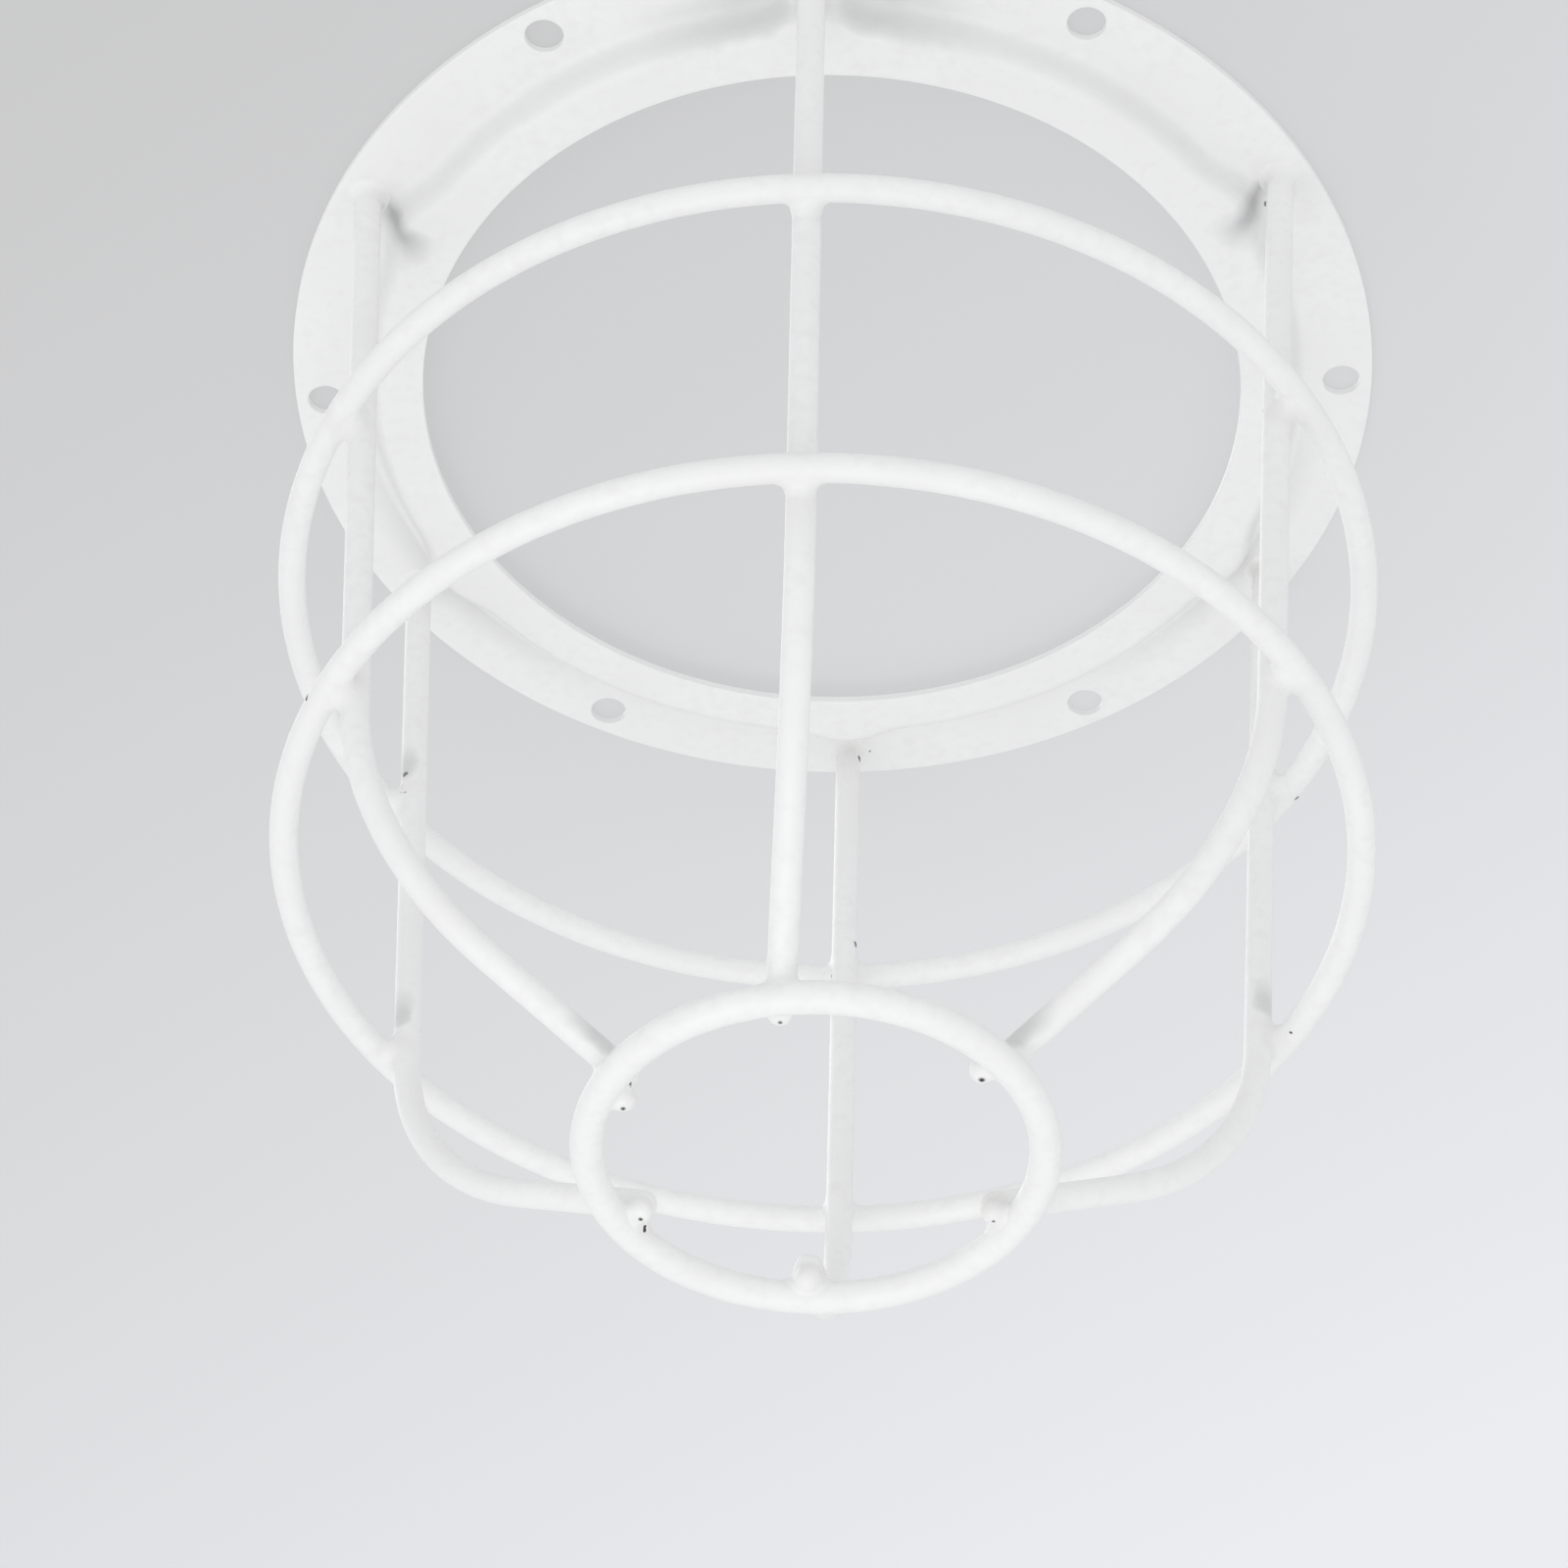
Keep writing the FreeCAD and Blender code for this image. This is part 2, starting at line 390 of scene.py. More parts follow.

# %% [markdown]
# ## Painted shade and soot
# Two more effects lie over the paint. One is a grey smear: painted shade beside the feet of the near rib and
# its two neighbours and on the neighbours' legs close to the end ring, and soot with painted shade above the
# welds of the next two ribs. It is a line between two points, and the paint is grey close to the line, less
# so further along. Left and right look alike, so each is drawn once, with the absolute value of x. The other
# is painted shade in the flange's fold, where the normal shows that the sheet is steep, and a painted shadow
# in the corner between rim and step by the feet of the ribs that have the soot.

# %% The smear's shader group
# Grey of the smears: painted shade, and soot with painted shade above the welds.
SMEAR_GREY = (0.47, 0.47, 0.475, 1)
SMEAR_WANDER, SMEAR_WANDER_SCALE = 1.5 * MM, 300
SMEAR_SOFTNESS = 0.4


def smear_group():
    """A colour with a grey smear of painted shade that widens and fades from its start towards its end, on
    both sides; above the welds it also stands for soot.
    """
    tree, entry, out = new_group(
        "shade_and_soot_smear", "ShaderNodeTree",
        inputs=[("Colour", COLOUR, None), ("Start", VECTOR, None), ("End", VECTOR, None),
                ("Width", FLOAT, 1.5 * MM), ("Growth", FLOAT, 0.33), ("Full Length", FLOAT, 5 * MM),
                ("Fade Length", FLOAT, 12 * MM), ("Amount", FLOAT, 0.95), ("Height Share", FLOAT, 1.0),
                ("Up Limit", FLOAT, 0.2)],
        outputs=[("Colour", COLOUR)])
    place = add_node(tree, "ShaderNodeTexCoord").outputs["Object"]
    x, y, z = split_axes(tree, place)
    height = times(tree, z, entry["Height Share"])
    folded = join_axes(tree, calculate(tree, "ABSOLUTE", x), y, height)
    uneven_edge = minus(tree, noise(tree, place, SMEAR_WANDER_SCALE, 0), 0.5)
    to_line = segment_distance(tree, folded, entry["Start"], entry["End"])
    distance = calculate(tree, "MULTIPLY_ADD", uneven_edge, SMEAR_WANDER, to_line)
    gone = apart(tree, folded, entry["Start"])
    width = calculate(tree, "MULTIPLY_ADD", gone, entry["Growth"], entry["Width"])
    across = spread(tree, calculate(tree, "DIVIDE", distance, width), 1, 0)
    amount = calculate(tree, "SMOOTH_MIN", across, entry["Amount"], SMEAR_SOFTNESS)
    fading = spread(tree, gone, entry["Fade Length"], entry["Full Length"])
    amount = times(tree, times(tree, amount, fading), looking_down(tree, entry["Up Limit"]))
    tree.links.new(mixed(tree, amount, entry["Colour"], SMEAR_GREY), out.inputs[0])
    return tree


shade_and_soot_smear = smear_group()
print("smear group:", shade_and_soot_smear.name)

# %% The fold shade's shader group
FOLD_GREY = (0.74, 0.74, 0.735, 1)
FLAT_RISE, STEEP_RISE = 0.96, 0.75
CORNER_BACK = 1 * MM
FOOT_CORE = 12 * MM
SHADE_UP_LIMIT = 0.2


def fold_group():
    """A colour with painted shade where the sheet is steep, and a painted shadow in the corner by the feet
    of two ribs.
    """
    tree, entry, out = new_group(
        "fold_shade", "ShaderNodeTree",
        inputs=[("Colour", COLOUR, None), ("Amount", FLOAT, 0.4), ("Corner Amount", FLOAT, 0.95),
                ("Corner Radius", FLOAT, 0.0), ("Corner Width", FLOAT, 5.5 * MM), ("Foot", VECTOR, None),
                ("Foot Reach", FLOAT, 48 * MM)],
        outputs=[("Colour", COLOUR)])
    # Painted shade: the steeper the sheet, the greyer; and a painted shadow in the corner by the feet.
    flatness = calculate(tree, "ABSOLUTE", normal_rise(tree))
    steep = times(tree, spread(tree, flatness, FLAT_RISE, STEEP_RISE), entry["Amount"])
    x, y, _ = split_axes(tree, add_node(tree, "ShaderNodeTexCoord").outputs["Object"])
    folded = join_axes(tree, calculate(tree, "ABSOLUTE", x), y)
    outwards = minus(tree, combine(tree, "LENGTH", folded), entry["Corner Radius"])
    corner = times(tree, spread(tree, outwards, entry["Corner Width"], 0),
                   spread(tree, outwards, -CORNER_BACK, 0))
    from_foot = apart(tree, folded, entry["Foot"])
    corner_shade = times(tree, corner, spread(tree, from_foot, entry["Foot Reach"], FOOT_CORE))
    corner_shade = times(tree, corner_shade, entry["Corner Amount"])
    amount = times(tree, calculate(tree, "MAXIMUM", steep, corner_shade), looking_down(tree, SHADE_UP_LIMIT))
    tree.links.new(mixed(tree, amount, entry["Colour"], FOLD_GREY), out.inputs[0])
    return tree


fold_shade = fold_group()
print("dust group:", fold_shade.name)

# %% [markdown]
# ## Where the painted shade and soot lie
# Each layer of painted shade and soot is a group and the values of its inputs. The places are given beside a
# rib:
# how far out from the axis, and how far to its side. On the flange only the plan counts, so the height's
# share is zero there. Both smeared legs were set a little askew, away from the near side, so the smear is
# moved too.

# %% Layers of painted shade and soot
NEAR_RIB, SMEARED_RIB, SOOT_AND_SHADE_RIB = 1, 2, 3
LEG_SWING = 1.2 * MM
ALL_ROUND = 1.2

leg = (rib_tip - rib_knee).normalized()


def leg_place(from_seat):
    """Place on the near side of a smeared rib's leg, at a distance from its seat on the end ring."""
    place = rib_seat - leg * from_seat
    return beside_rib(place.x, LEG_SWING - rib_wire, SMEARED_RIB, place.z)


def soot_and_shade(weld_height):
    """Soot and painted shade on the near side of a rib's post, just above a weld."""
    low, high = (on_rib(weld_height + rise) for rise in (6 * MM, 11 * MM))
    return shade_and_soot_smear, {
        "Start": beside_rib(low.x, -rib_wire, SOOT_AND_SHADE_RIB, low.z),
        "End": beside_rib(high.x, -rib_wire, SOOT_AND_SHADE_RIB, high.z),
        "Width": 2.2 * MM, "Growth": 0.1, "Full Length": 2 * MM, "Fade Length": 8 * MM,
        "Amount": 0.42, "Up Limit": ALL_ROUND}


# Painted shade on the near side of the near rib's two neighbours' legs, by the end ring.
leg_shade = shade_and_soot_smear, {
    "Start": leg_place(4 * MM), "End": leg_place(15 * MM),
    "Width": 2.4 * MM, "Growth": 0.05, "Full Length": 3 * MM, "Fade Length": 9 * MM,
    "Amount": 0.5, "Up Limit": ALL_ROUND}
# Painted shadow beside the feet of the near rib's two neighbours, on the flange.
foot_shadow = shade_and_soot_smear, {
    "Start": beside_rib(92.6 * MM, -0.4 * MM, SMEARED_RIB),
    "End": beside_rib(83.0 * MM, 4.5 * MM, SMEARED_RIB),
    "Growth": 0.42, "Amount": 0.85, "Height Share": 0.0}
# Painted shade in the step beside the near rib's foot.
near_foot_shade = shade_and_soot_smear, {
    "Start": beside_rib(90.5 * MM, 9 * MM, NEAR_RIB),
    "End": beside_rib(83 * MM, 34 * MM, NEAR_RIB),
    "Width": 5 * MM, "Growth": 0.02, "Full Length": 5 * MM, "Fade Length": 24 * MM,
    "Amount": 0.36, "Height Share": 0.0}
# Painted shadow in the corner between rim and step, by the feet of the ribs that carry the soot.
corner_shadow = fold_shade, {
    "Corner Radius": foot_radius - 6 * MM,
    "Foot": beside_rib(foot_radius, 0, SOOT_AND_SHADE_RIB)}
# The wires get painted shade and soot, the flange painted shade and a painted shadow.
wire_shade_and_soot = [leg_shade, soot_and_shade(upper_height), soot_and_shade(lower_height)]
flange_shade = [corner_shadow, foot_shadow, near_foot_shade]
print("layers of dirt on the wires:", len(wire_shade_and_soot), "on the flange:", len(flange_shade))

# %% [markdown]
# ## Two paints
# The wires and the flange share the paint and differ in their whites and in the painted shade and soot that
# lie
# on them. A paint is a stack: the skin gives the first colour, and each layer takes the colour below it.

# %% Paint materials
PAINT_RELIEF = 0.3 * MM


def painted(name, clean, aged_and_shaded, layers):
    """A material of thick paint over steel, with layers of painted shade and soot given as a group and its
    inputs.
    """
    material = bpy.data.materials.new(name)
    material.use_nodes = True
    tree = material.node_tree
    surface = tree.nodes["Principled BSDF"]
    skin = add_node(tree, "ShaderNodeGroup", node_tree=paint_skin)
    skin.inputs["Clean Colour"].default_value = (*clean, 1)
    skin.inputs["Aged Colour"].default_value = (*aged_and_shaded, 1)
    colour = skin.outputs["Colour"]
    for group, inputs in layers:
        layer = add_node(tree, "ShaderNodeGroup", node_tree=group)
        tree.links.new(colour, layer.inputs["Colour"])
        for key, value in inputs.items():
            layer.inputs[key].default_value = value
        colour = layer.outputs["Colour"]
    relief = {"Height": skin.outputs["Height"], "Distance": PAINT_RELIEF}
    bump = node_out(tree, "ShaderNodeBump", relief)
    tree.links.new(colour, surface.inputs["Base Color"])
    tree.links.new(skin.outputs["Roughness"], surface.inputs["Roughness"])
    tree.links.new(bump, surface.inputs["Normal"])
    return material


wire_paint = painted("wire_paint", (0.88, 0.88, 0.875), (0.80, 0.795, 0.78), wire_shade_and_soot)
flange_paint = painted("flange_paint", (0.87, 0.87, 0.865), (0.80, 0.795, 0.785), flange_shade)
print("paints:", wire_paint.name, flange_paint.name)

# %% [markdown]
# ## From a geometry tree to a piece
# A geometry tree is run once on an empty mesh, with its inputs set by their identifiers, and the result is
# kept as a plain mesh. Paint over wire is never quite even, so every tree lets noise take a little off the
# surface, on the wires less than a tenth of a millimetre. Taking off, and never adding, keeps a piece inside
# the size of its solid.

# %% Tree helpers
UNEVEN = 0.08 * MM
UNEVEN_SCALE = 180.0


def uneven(tree, geometry, depth, scale):
    """Move a mesh's surface inwards by up to depth, by a noise of that scale, and shade it smooth."""
    place = node_out(tree, "GeometryNodeInputPosition")
    short = minus(tree, noise(tree, place, scale, 1), 1)
    normal = node_out(tree, "GeometryNodeInputNormal")
    offset = scaled(tree, normal, times(tree, short, depth))
    moved = node_out(tree, "GeometryNodeSetPosition", {"Geometry": geometry, "Offset": offset})
    return node_out(tree, "GeometryNodeSetShadeSmooth", {"Geometry": moved})


def finish_tree(tree, geometry, material, out):
    """End a tree in real geometry that carries its material."""
    real = node_out(tree, "GeometryNodeRealizeInstances", {0: geometry})
    inputs = {"Geometry": real, "Material": material}
    tree.links.new(node_out(tree, "GeometryNodeSetMaterial", inputs), out.inputs[0])


print(f"paint on the wires is uneven by up to {UNEVEN / MM} mm")


# %% Piece helpers
def new_piece(name):
    """An empty mesh object at the origin."""
    piece = bpy.data.objects.new(name, bpy.data.meshes.new(name))
    bpy.context.scene.collection.objects.link(piece)
    return piece


def plain_mesh(piece):
    """Replace a piece's mesh by what its modifiers make of it, and remove them."""
    bpy.context.view_layer.update()
    evaluated = piece.evaluated_get(bpy.context.evaluated_depsgraph_get())
    mesh = bpy.data.meshes.new_from_object(evaluated)
    piece.modifiers.clear()
    piece.data = mesh
    mesh.name = piece.name
    print(f"{piece.name}: {len(mesh.polygons)} faces")
    return piece


def grown(name, tree, values, material):
    """A piece made by a geometry tree with the given inputs."""
    piece = new_piece(name)
    modifier = piece.modifiers.new("grow", "NODES")
    modifier.node_group = tree
    sockets = {item.name: item.identifier for item in tree.interface.items_tree if item.in_out == "INPUT"}
    for key, value in {**values, "Material": material}.items():
        modifier[sockets[key]] = value
    return plain_mesh(piece)


def dress(piece, *nodes):
    """Let a finished piece ride on the guard and stand for its solids."""
    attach(piece, "root")
    if nodes:
        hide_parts(*nodes)


print("solids to stand for:", len(frame["nodes"]))

# %% [markdown]
# ## Hoops and end ring
# A hoop is a length of round wire rolled into a circle. A torus would do for one. A tree that sweeps a round
# section along a circle makes all three rings, and the paint's unevenness comes with it.

# %% The wire ring tree
WIRE_SIDES = 32
RING_STEPS = 360


def circle_curve(tree, radius, steps):
    """A circle of straight steps about the origin."""
    inputs = {"Resolution": steps, "Radius": radius}
    return node_out(tree, "GeometryNodeCurvePrimitiveCircle", inputs)


def wire_ring_tree():
    """A level ring of round wire at a height."""
    tree, entry, out = new_group(
        "wire_ring", "GeometryNodeTree",
        inputs=[("Circle Radius", FLOAT, 0.1), ("Wire Radius", FLOAT, 0.0025), ("Height", FLOAT, 0.0),
                ("Lump", FLOAT, UNEVEN), ("Material", MATERIAL, None)],
        outputs=[("Geometry", GEOMETRY)])
    circle = circle_curve(tree, entry["Circle Radius"], RING_STEPS)
    lift = join_axes(tree, z=entry["Height"])
    placed = node_out(tree, "GeometryNodeSetPosition", {"Geometry": circle, "Offset": lift})
    section = circle_curve(tree, entry["Wire Radius"], WIRE_SIDES)
    swept = node_out(tree, "GeometryNodeCurveToMesh", {"Curve": placed, "Profile Curve": section})
    finish_tree(tree, uneven(tree, swept, entry["Lump"], UNEVEN_SCALE), entry["Material"], out)
    return tree


wire_ring = wire_ring_tree()
for node in ("upper_hoop", "lower_hoop", "end_ring"):
    wire, circle, height = ring_sizes(node)
    sizes = {"Circle Radius": circle, "Wire Radius": wire, "Height": height}
    dress(grown("painted_" + node, wire_ring, sizes, wire_paint), node)

# %% [markdown]
# ## Ribs
# A rib is a wire that was bent once and cut to length. The tree strings its three points on a curve, rounds
# the corner with a fillet, sweeps the wire along it and shrinks the last millimetres to a round tip. Turned
# about the axis, it stands on its own foot. The foot ends inside the sheet, so that no gap shows.

# %% The bent wire tree
FOOT_SINK = 0.5 * MM
BEND_STEPS = 40
RIB_STEP = 0.5 * MM
TIP_FLAT = 0.0004


def bent_curve(tree, corners, bend_radius):
    """A curve through three corners, with its middle one rounded."""
    line = node_out(tree, "GeometryNodeMeshLine", {"Count": 3})
    pick = add_node(tree, "GeometryNodeIndexSwitch", data_type="VECTOR")
    pick.index_switch_items.new()
    tree.links.new(node_out(tree, "GeometryNodeInputIndex"), pick.inputs["Index"])
    for place, corner in enumerate(corners, start=1):
        tree.links.new(corner, pick.inputs[place])
    moved = {"Geometry": line, "Position": pick.outputs[0]}
    bent = node_out(tree, "GeometryNodeSetPosition", moved)
    curve = node_out(tree, "GeometryNodeMeshToCurve", {"Mesh": bent})
    fillet = {"Curve": curve, "Count": BEND_STEPS, "Radius": bend_radius}
    return node_out(tree, "GeometryNodeFilletCurve", fillet, mode="POLY")


def tip_scale(tree, curve, tip_round):
    """Share of the wire's radius along a curve: one, and a quarter of an ellipse at the tip."""
    whole = node_out(tree, "GeometryNodeCurveLength", {"Curve": curve})
    gone = add_node(tree, "GeometryNodeSplineParameter").outputs["Length"]
    to_tip = calculate(tree, "DIVIDE", minus(tree, whole, gone), tip_round)
    short = minus(tree, 1, calculate(tree, "MINIMUM", to_tip, 1))
    square = minus(tree, 1, calculate(tree, "POWER", short, 2))
    return calculate(tree, "SQRT", calculate(tree, "MAXIMUM", TIP_FLAT, square))


def bent_wire_tree():
    """A round wire with one bend and a round tip, turned about the guard's axis."""
    tree, entry, out = new_group(
        "bent_wire", "GeometryNodeTree",
        inputs=[("Foot", VECTOR, None), ("Knee", VECTOR, None), ("Tip", VECTOR, None),
                ("Bend Radius", FLOAT, 0.05), ("Wire Radius", FLOAT, 0.0025), ("Tip Round", FLOAT, 0.002),
                ("Turn", FLOAT, 0.0), ("Lump", FLOAT, UNEVEN), ("Material", MATERIAL, None)],
        outputs=[("Geometry", GEOMETRY)])
    curve = bent_curve(tree, [entry["Foot"], entry["Knee"], entry["Tip"]], entry["Bend Radius"])
    steps = {"Curve": curve, "Length": RIB_STEP}
    fine = node_out(tree, "GeometryNodeResampleCurve", steps, mode="LENGTH")
    section = circle_curve(tree, entry["Wire Radius"], WIRE_SIDES)
    sweep = {"Curve": fine, "Profile Curve": section, "Fill Caps": True,
             "Scale": tip_scale(tree, curve, entry["Tip Round"])}
    swept = node_out(tree, "GeometryNodeCurveToMesh", sweep)
    turn = {"Geometry": swept, "Rotation": join_axes(tree, z=entry["Turn"])}
    turned = node_out(tree, "GeometryNodeTransform", turn)
    finish_tree(tree, uneven(tree, turned, entry["Lump"], UNEVEN_SCALE), entry["Material"], out)
    return tree


bent_wire = bent_wire_tree()
for number, node in enumerate(ribs, start=1):
    sizes = {"Foot": on_rib(rim_under + FOOT_SINK), "Knee": rib_knee, "Tip": askew(rib_tip, number),
             "Bend Radius": RIB_BEND_RADIUS, "Wire Radius": rib_wire, "Tip Round": rib_wire,
             "Turn": rib_angle(number)}
    dress(grown("painted_" + node, bent_wire, sizes, wire_paint), node)

# %% [markdown]
# ## Weld metal
# Where two wires cross, a small fillet of weld metal fills the corner all round, and the paint rounds it off
# further. That shape is a smooth union: measure the distance to each wire, and blend the two where they are
# nearly equal. Geometry Nodes can evaluate such a field on a grid (Volume Cube) and turn one level of it
# into a mesh. The result is kept a tenth of a millimetre inside the wires, so that only the fillet shows.
# The tree works in millimetres, since a volume grid prefers numbers near one, and scales at the end.

# %% The weld's shape as a distance
DROP_BLEND = 2.0


def ring_distance(tree, place, radius, height, wire):
    """Distance from a place to the surface of a level wire ring about the axis."""
    x, y, z = split_axes(tree, place)
    outwards = minus(tree, combine(tree, "LENGTH", join_axes(tree, x, y)), radius)
    gap = combine(tree, "LENGTH", join_axes(tree, outwards, minus(tree, z, height)))
    return minus(tree, gap, wire)


def weld_distance_field(tree, entry, place):
    """Distance from a place to the weld's surface, cut off at its reach and at its top."""
    to_rib = segment_distance(tree, place, entry["Rib Start"], entry["Rib End"])
    rib = minus(tree, to_rib, entry["Rib Wire"])
    ring = ring_distance(tree, place, entry["Ring Radius"], entry["Ring Height"], entry["Ring Wire"])
    height = split_axes(tree, place)[2]
    plate = minus(tree, entry["Ring Height"], height)
    choice = {0: entry["On Plate"], 1: ring, 2: plate}
    other = node_out(tree, "GeometryNodeSwitch", choice, input_type="FLOAT")
    union = calculate(tree, "SMOOTH_MIN", rib, other, entry["Fillet"])
    fillet = calculate(tree, "ADD", union, entry["Inset"])
    drop = minus(tree, apart(tree, place, entry["Drop"]), entry["Drop Radius"])
    body = calculate(tree, "SMOOTH_MIN", fillet, drop, DROP_BLEND)
    from_centre = apart(tree, place, entry["Centre"])
    body = calculate(tree, "MAXIMUM", body, minus(tree, from_centre, entry["Reach"]))
    return calculate(tree, "MAXIMUM", body, minus(tree, height, entry["Top"]))


print(f"drops blend into their welds over {DROP_BLEND} mm")

# %% The weld tree
GRID_STEPS = 60
GRID_MARGIN = 1.0
SURFACE_LEVEL = 0.5
PIT_CORE_SHARE = 0.4
WELD_UNEVEN_SCALE = 0.35
NO_DROP = -50.0


def weld_blob(tree, entry, place):
    """The weld as a closed mesh: its distance on a grid, cut at the level of its surface."""
    room = calculate(tree, "ADD", entry["Reach"], GRID_MARGIN)
    corner = join_axes(tree, room, room, room)
    distance = weld_distance_field(tree, entry, place)
    grid = {"Density": minus(tree, SURFACE_LEVEL, distance),
            "Min": combine(tree, "SUBTRACT", entry["Centre"], corner),
            "Max": combine(tree, "ADD", entry["Centre"], corner),
            **{f"Resolution {axis}": GRID_STEPS for axis in "XYZ"}}
    volume = node_out(tree, "GeometryNodeVolumeCube", grid)
    level = {"Volume": volume, "Threshold": SURFACE_LEVEL}
    return node_out(tree, "GeometryNodeVolumeToMesh", level)


def with_pit(tree, entry, place, blob):
    """Mark the pit under a weld's drop in an attribute, which the paint reads."""
    bottom = combine(tree, "SUBTRACT", entry["Drop"], join_axes(tree, z=entry["Drop Radius"]))
    core = times(tree, entry["Pit Radius"], PIT_CORE_SHARE)
    mask = spread(tree, apart(tree, place, bottom), entry["Pit Radius"], core)
    inputs = {"Geometry": blob, "Name": PIT_ATTRIBUTE, "Value": mask}
    return node_out(tree, "GeometryNodeStoreNamedAttribute", inputs, data_type="FLOAT", domain="POINT")


def weld_tree():
    """Welds at a number of ribs in a row, each a little lumpy in its own way; sizes in millimetres."""
    tree, entry, out = new_group(
        "weld_fillet", "GeometryNodeTree",
        inputs=[("Rib Start", VECTOR, None), ("Rib End", VECTOR, None), ("Rib Wire", FLOAT, 2.5),
                ("Ring Radius", FLOAT, 100.0), ("Ring Height", FLOAT, 0.0), ("Ring Wire", FLOAT, 2.5),
                ("On Plate", SWITCH, False), ("Centre", VECTOR, None), ("Reach", FLOAT, 6.0),
                ("Fillet", FLOAT, 6.0), ("Inset", FLOAT, 0.12), ("Lump", FLOAT, 0.3), ("Top", FLOAT, 0.0),
                ("Drop", VECTOR, None), ("Drop Radius", FLOAT, NO_DROP), ("Pit Radius", FLOAT, 0.0),
                ("First Turn", FLOAT, 0.0), ("Count", INTEGER, 6), ("Material", MATERIAL, None)],
        outputs=[("Geometry", GEOMETRY)])
    place = node_out(tree, "GeometryNodeInputPosition")
    blob = with_pit(tree, entry, place, weld_blob(tree, entry, place))
    points = node_out(tree, "GeometryNodePoints", {"Count": entry["Count"]})
    index = node_out(tree, "GeometryNodeInputIndex")
    angle = calculate(tree, "MULTIPLY_ADD", index, RIB_PITCH, entry["First Turn"])
    copies = {"Points": points, "Instance": blob, "Rotation": join_axes(tree, z=angle)}
    round_axis = node_out(tree, "GeometryNodeInstanceOnPoints", copies)
    real = node_out(tree, "GeometryNodeRealizeInstances", {0: round_axis})
    lumpy = uneven(tree, real, entry["Lump"], WELD_UNEVEN_SCALE)
    metres = {"Geometry": lumpy, "Scale": (MM, MM, MM)}
    finish_tree(tree, node_out(tree, "GeometryNodeTransform", metres), entry["Material"], out)
    return tree


weld_fillet = weld_tree()
print("weld tree:", weld_fillet.name, "with", len(weld_fillet.nodes), "nodes")


# %% Welds at the hoops and at the feet
def weld(name, rib_ends, ring, centre, first=1, count=RIB_COUNT, **more):
    """Welds at a number of ribs in a row, from the first on."""
    wire, circle, height = ring
    sizes = {"Rib Start": rib_ends[0] / MM, "Rib End": rib_ends[1] / MM, "Rib Wire": rib_wire / MM,
             "Ring Radius": circle / MM, "Ring Height": height / MM, "Ring Wire": wire / MM,
             "Centre": centre / MM, "First Turn": rib_angle(first), "Count": count, **more}
    dress(grown(name, weld_fillet, sizes, wire_paint))


post = (rib_foot, rib_knee)
weld("welds_upper_hoop", post, ring_sizes("upper_hoop"), upper_weld)
weld("welds_lower_hoop", post, ring_sizes("lower_hoop"), lower_weld)
weld("welds_feet", post, (rib_wire, foot_radius, rim_under), Vector((foot_radius, 0, rim_under)),
     **{"On Plate": True, "Fillet": 5.0, "Reach": 4.5, "Top": rim_under / MM / 2})

# %% [markdown]
# ## Drops under the rib tips
# At the end ring the weld ran down into the corner between tip and ring and set as a round drop. Five of the
# six have a pit where gas came out. A drop is one more shape in the smooth union. They were not placed
# alike, so each has its own distance beside the rib.

# %% Tip welds
DROP_PLACE = Vector((32.8, 0, -191.8)) * MM
DROP_RADIUS = 2.2 * MM
DROP_SIDE = {2: -3.5 * MM, 3: -2.0 * MM, 5: 2.0 * MM, 6: -2.3 * MM}
DROP_PIT = {1: 0.5 * MM, 2: 0.75 * MM, 3: 0.4 * MM, 5: 0.55 * MM, 6: 0.6 * MM}

tip_weld = rib_seat.lerp(Vector((end_radius, 0, end_height)), 0.5)
for number in range(1, RIB_COUNT + 1):
    tip = askew(rib_tip, number)
    round_end = tip + (rib_knee - tip).normalized() * rib_wire
    drop = askew(DROP_PLACE, number) + Vector((0, DROP_SIDE.get(number, 0), 0))
    drop_sizes = {"Drop": drop / MM, "Drop Radius": DROP_RADIUS / MM, "Reach": 7.0,
                  "Pit Radius": DROP_PIT.get(number, 0) / MM}
    weld(f"weld_tip_{number}", (rib_knee, round_end), ring_sizes("end_ring"), askew(tip_weld, number),
         first=number, count=1, **drop_sizes)

# %% [markdown]
# ## The pressed flange
# The flange is one ring of thin sheet. Seen from below it has a flat rim, a soft S-shaped step and a narrow
# lip, and behind each rib's foot the step swings out in a round bay. All of that is one rule: how far a
# point lies inside the step's edge, or inside a bay's edge, whichever is more, decides how deep it is
# pressed. A smooth maximum rounds the corner where step and bay meet. A grid that runs round the axis
# carries the rule. Round each bolt hole the grid is drawn into circles and its middle is left out. Solidify
# then gives the sheet its thickness and Bevel breaks the sheared edges.

# %% Sizes of the pressing
RIM_WIDTH = 11.5 * MM
STEP_WIDTH = 6.5 * MM
STEP_DROP = 5.0 * MM
LIP_WIDTH = 7.0 * MM
BAY_RADIUS = 15.0 * MM
BAY_STEP_WIDTH = 6.5 * MM
BAY_RIB_GAP = 0.5 * MM
BLEND = 0.5
EDGE_ROUND = 0.4 * MM
PAINT_INSET = 0.01 * MM

flange_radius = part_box("mounting_flange")[1].x - PAINT_INSET
rim_inside = flange_radius - RIM_WIDTH
bay_distance = foot_radius - rib_wire - BAY_RIB_GAP - BAY_RADIUS
bay_centres = [beside_rib(bay_distance, 0, number) for number in range(1, RIB_COUNT + 1)]


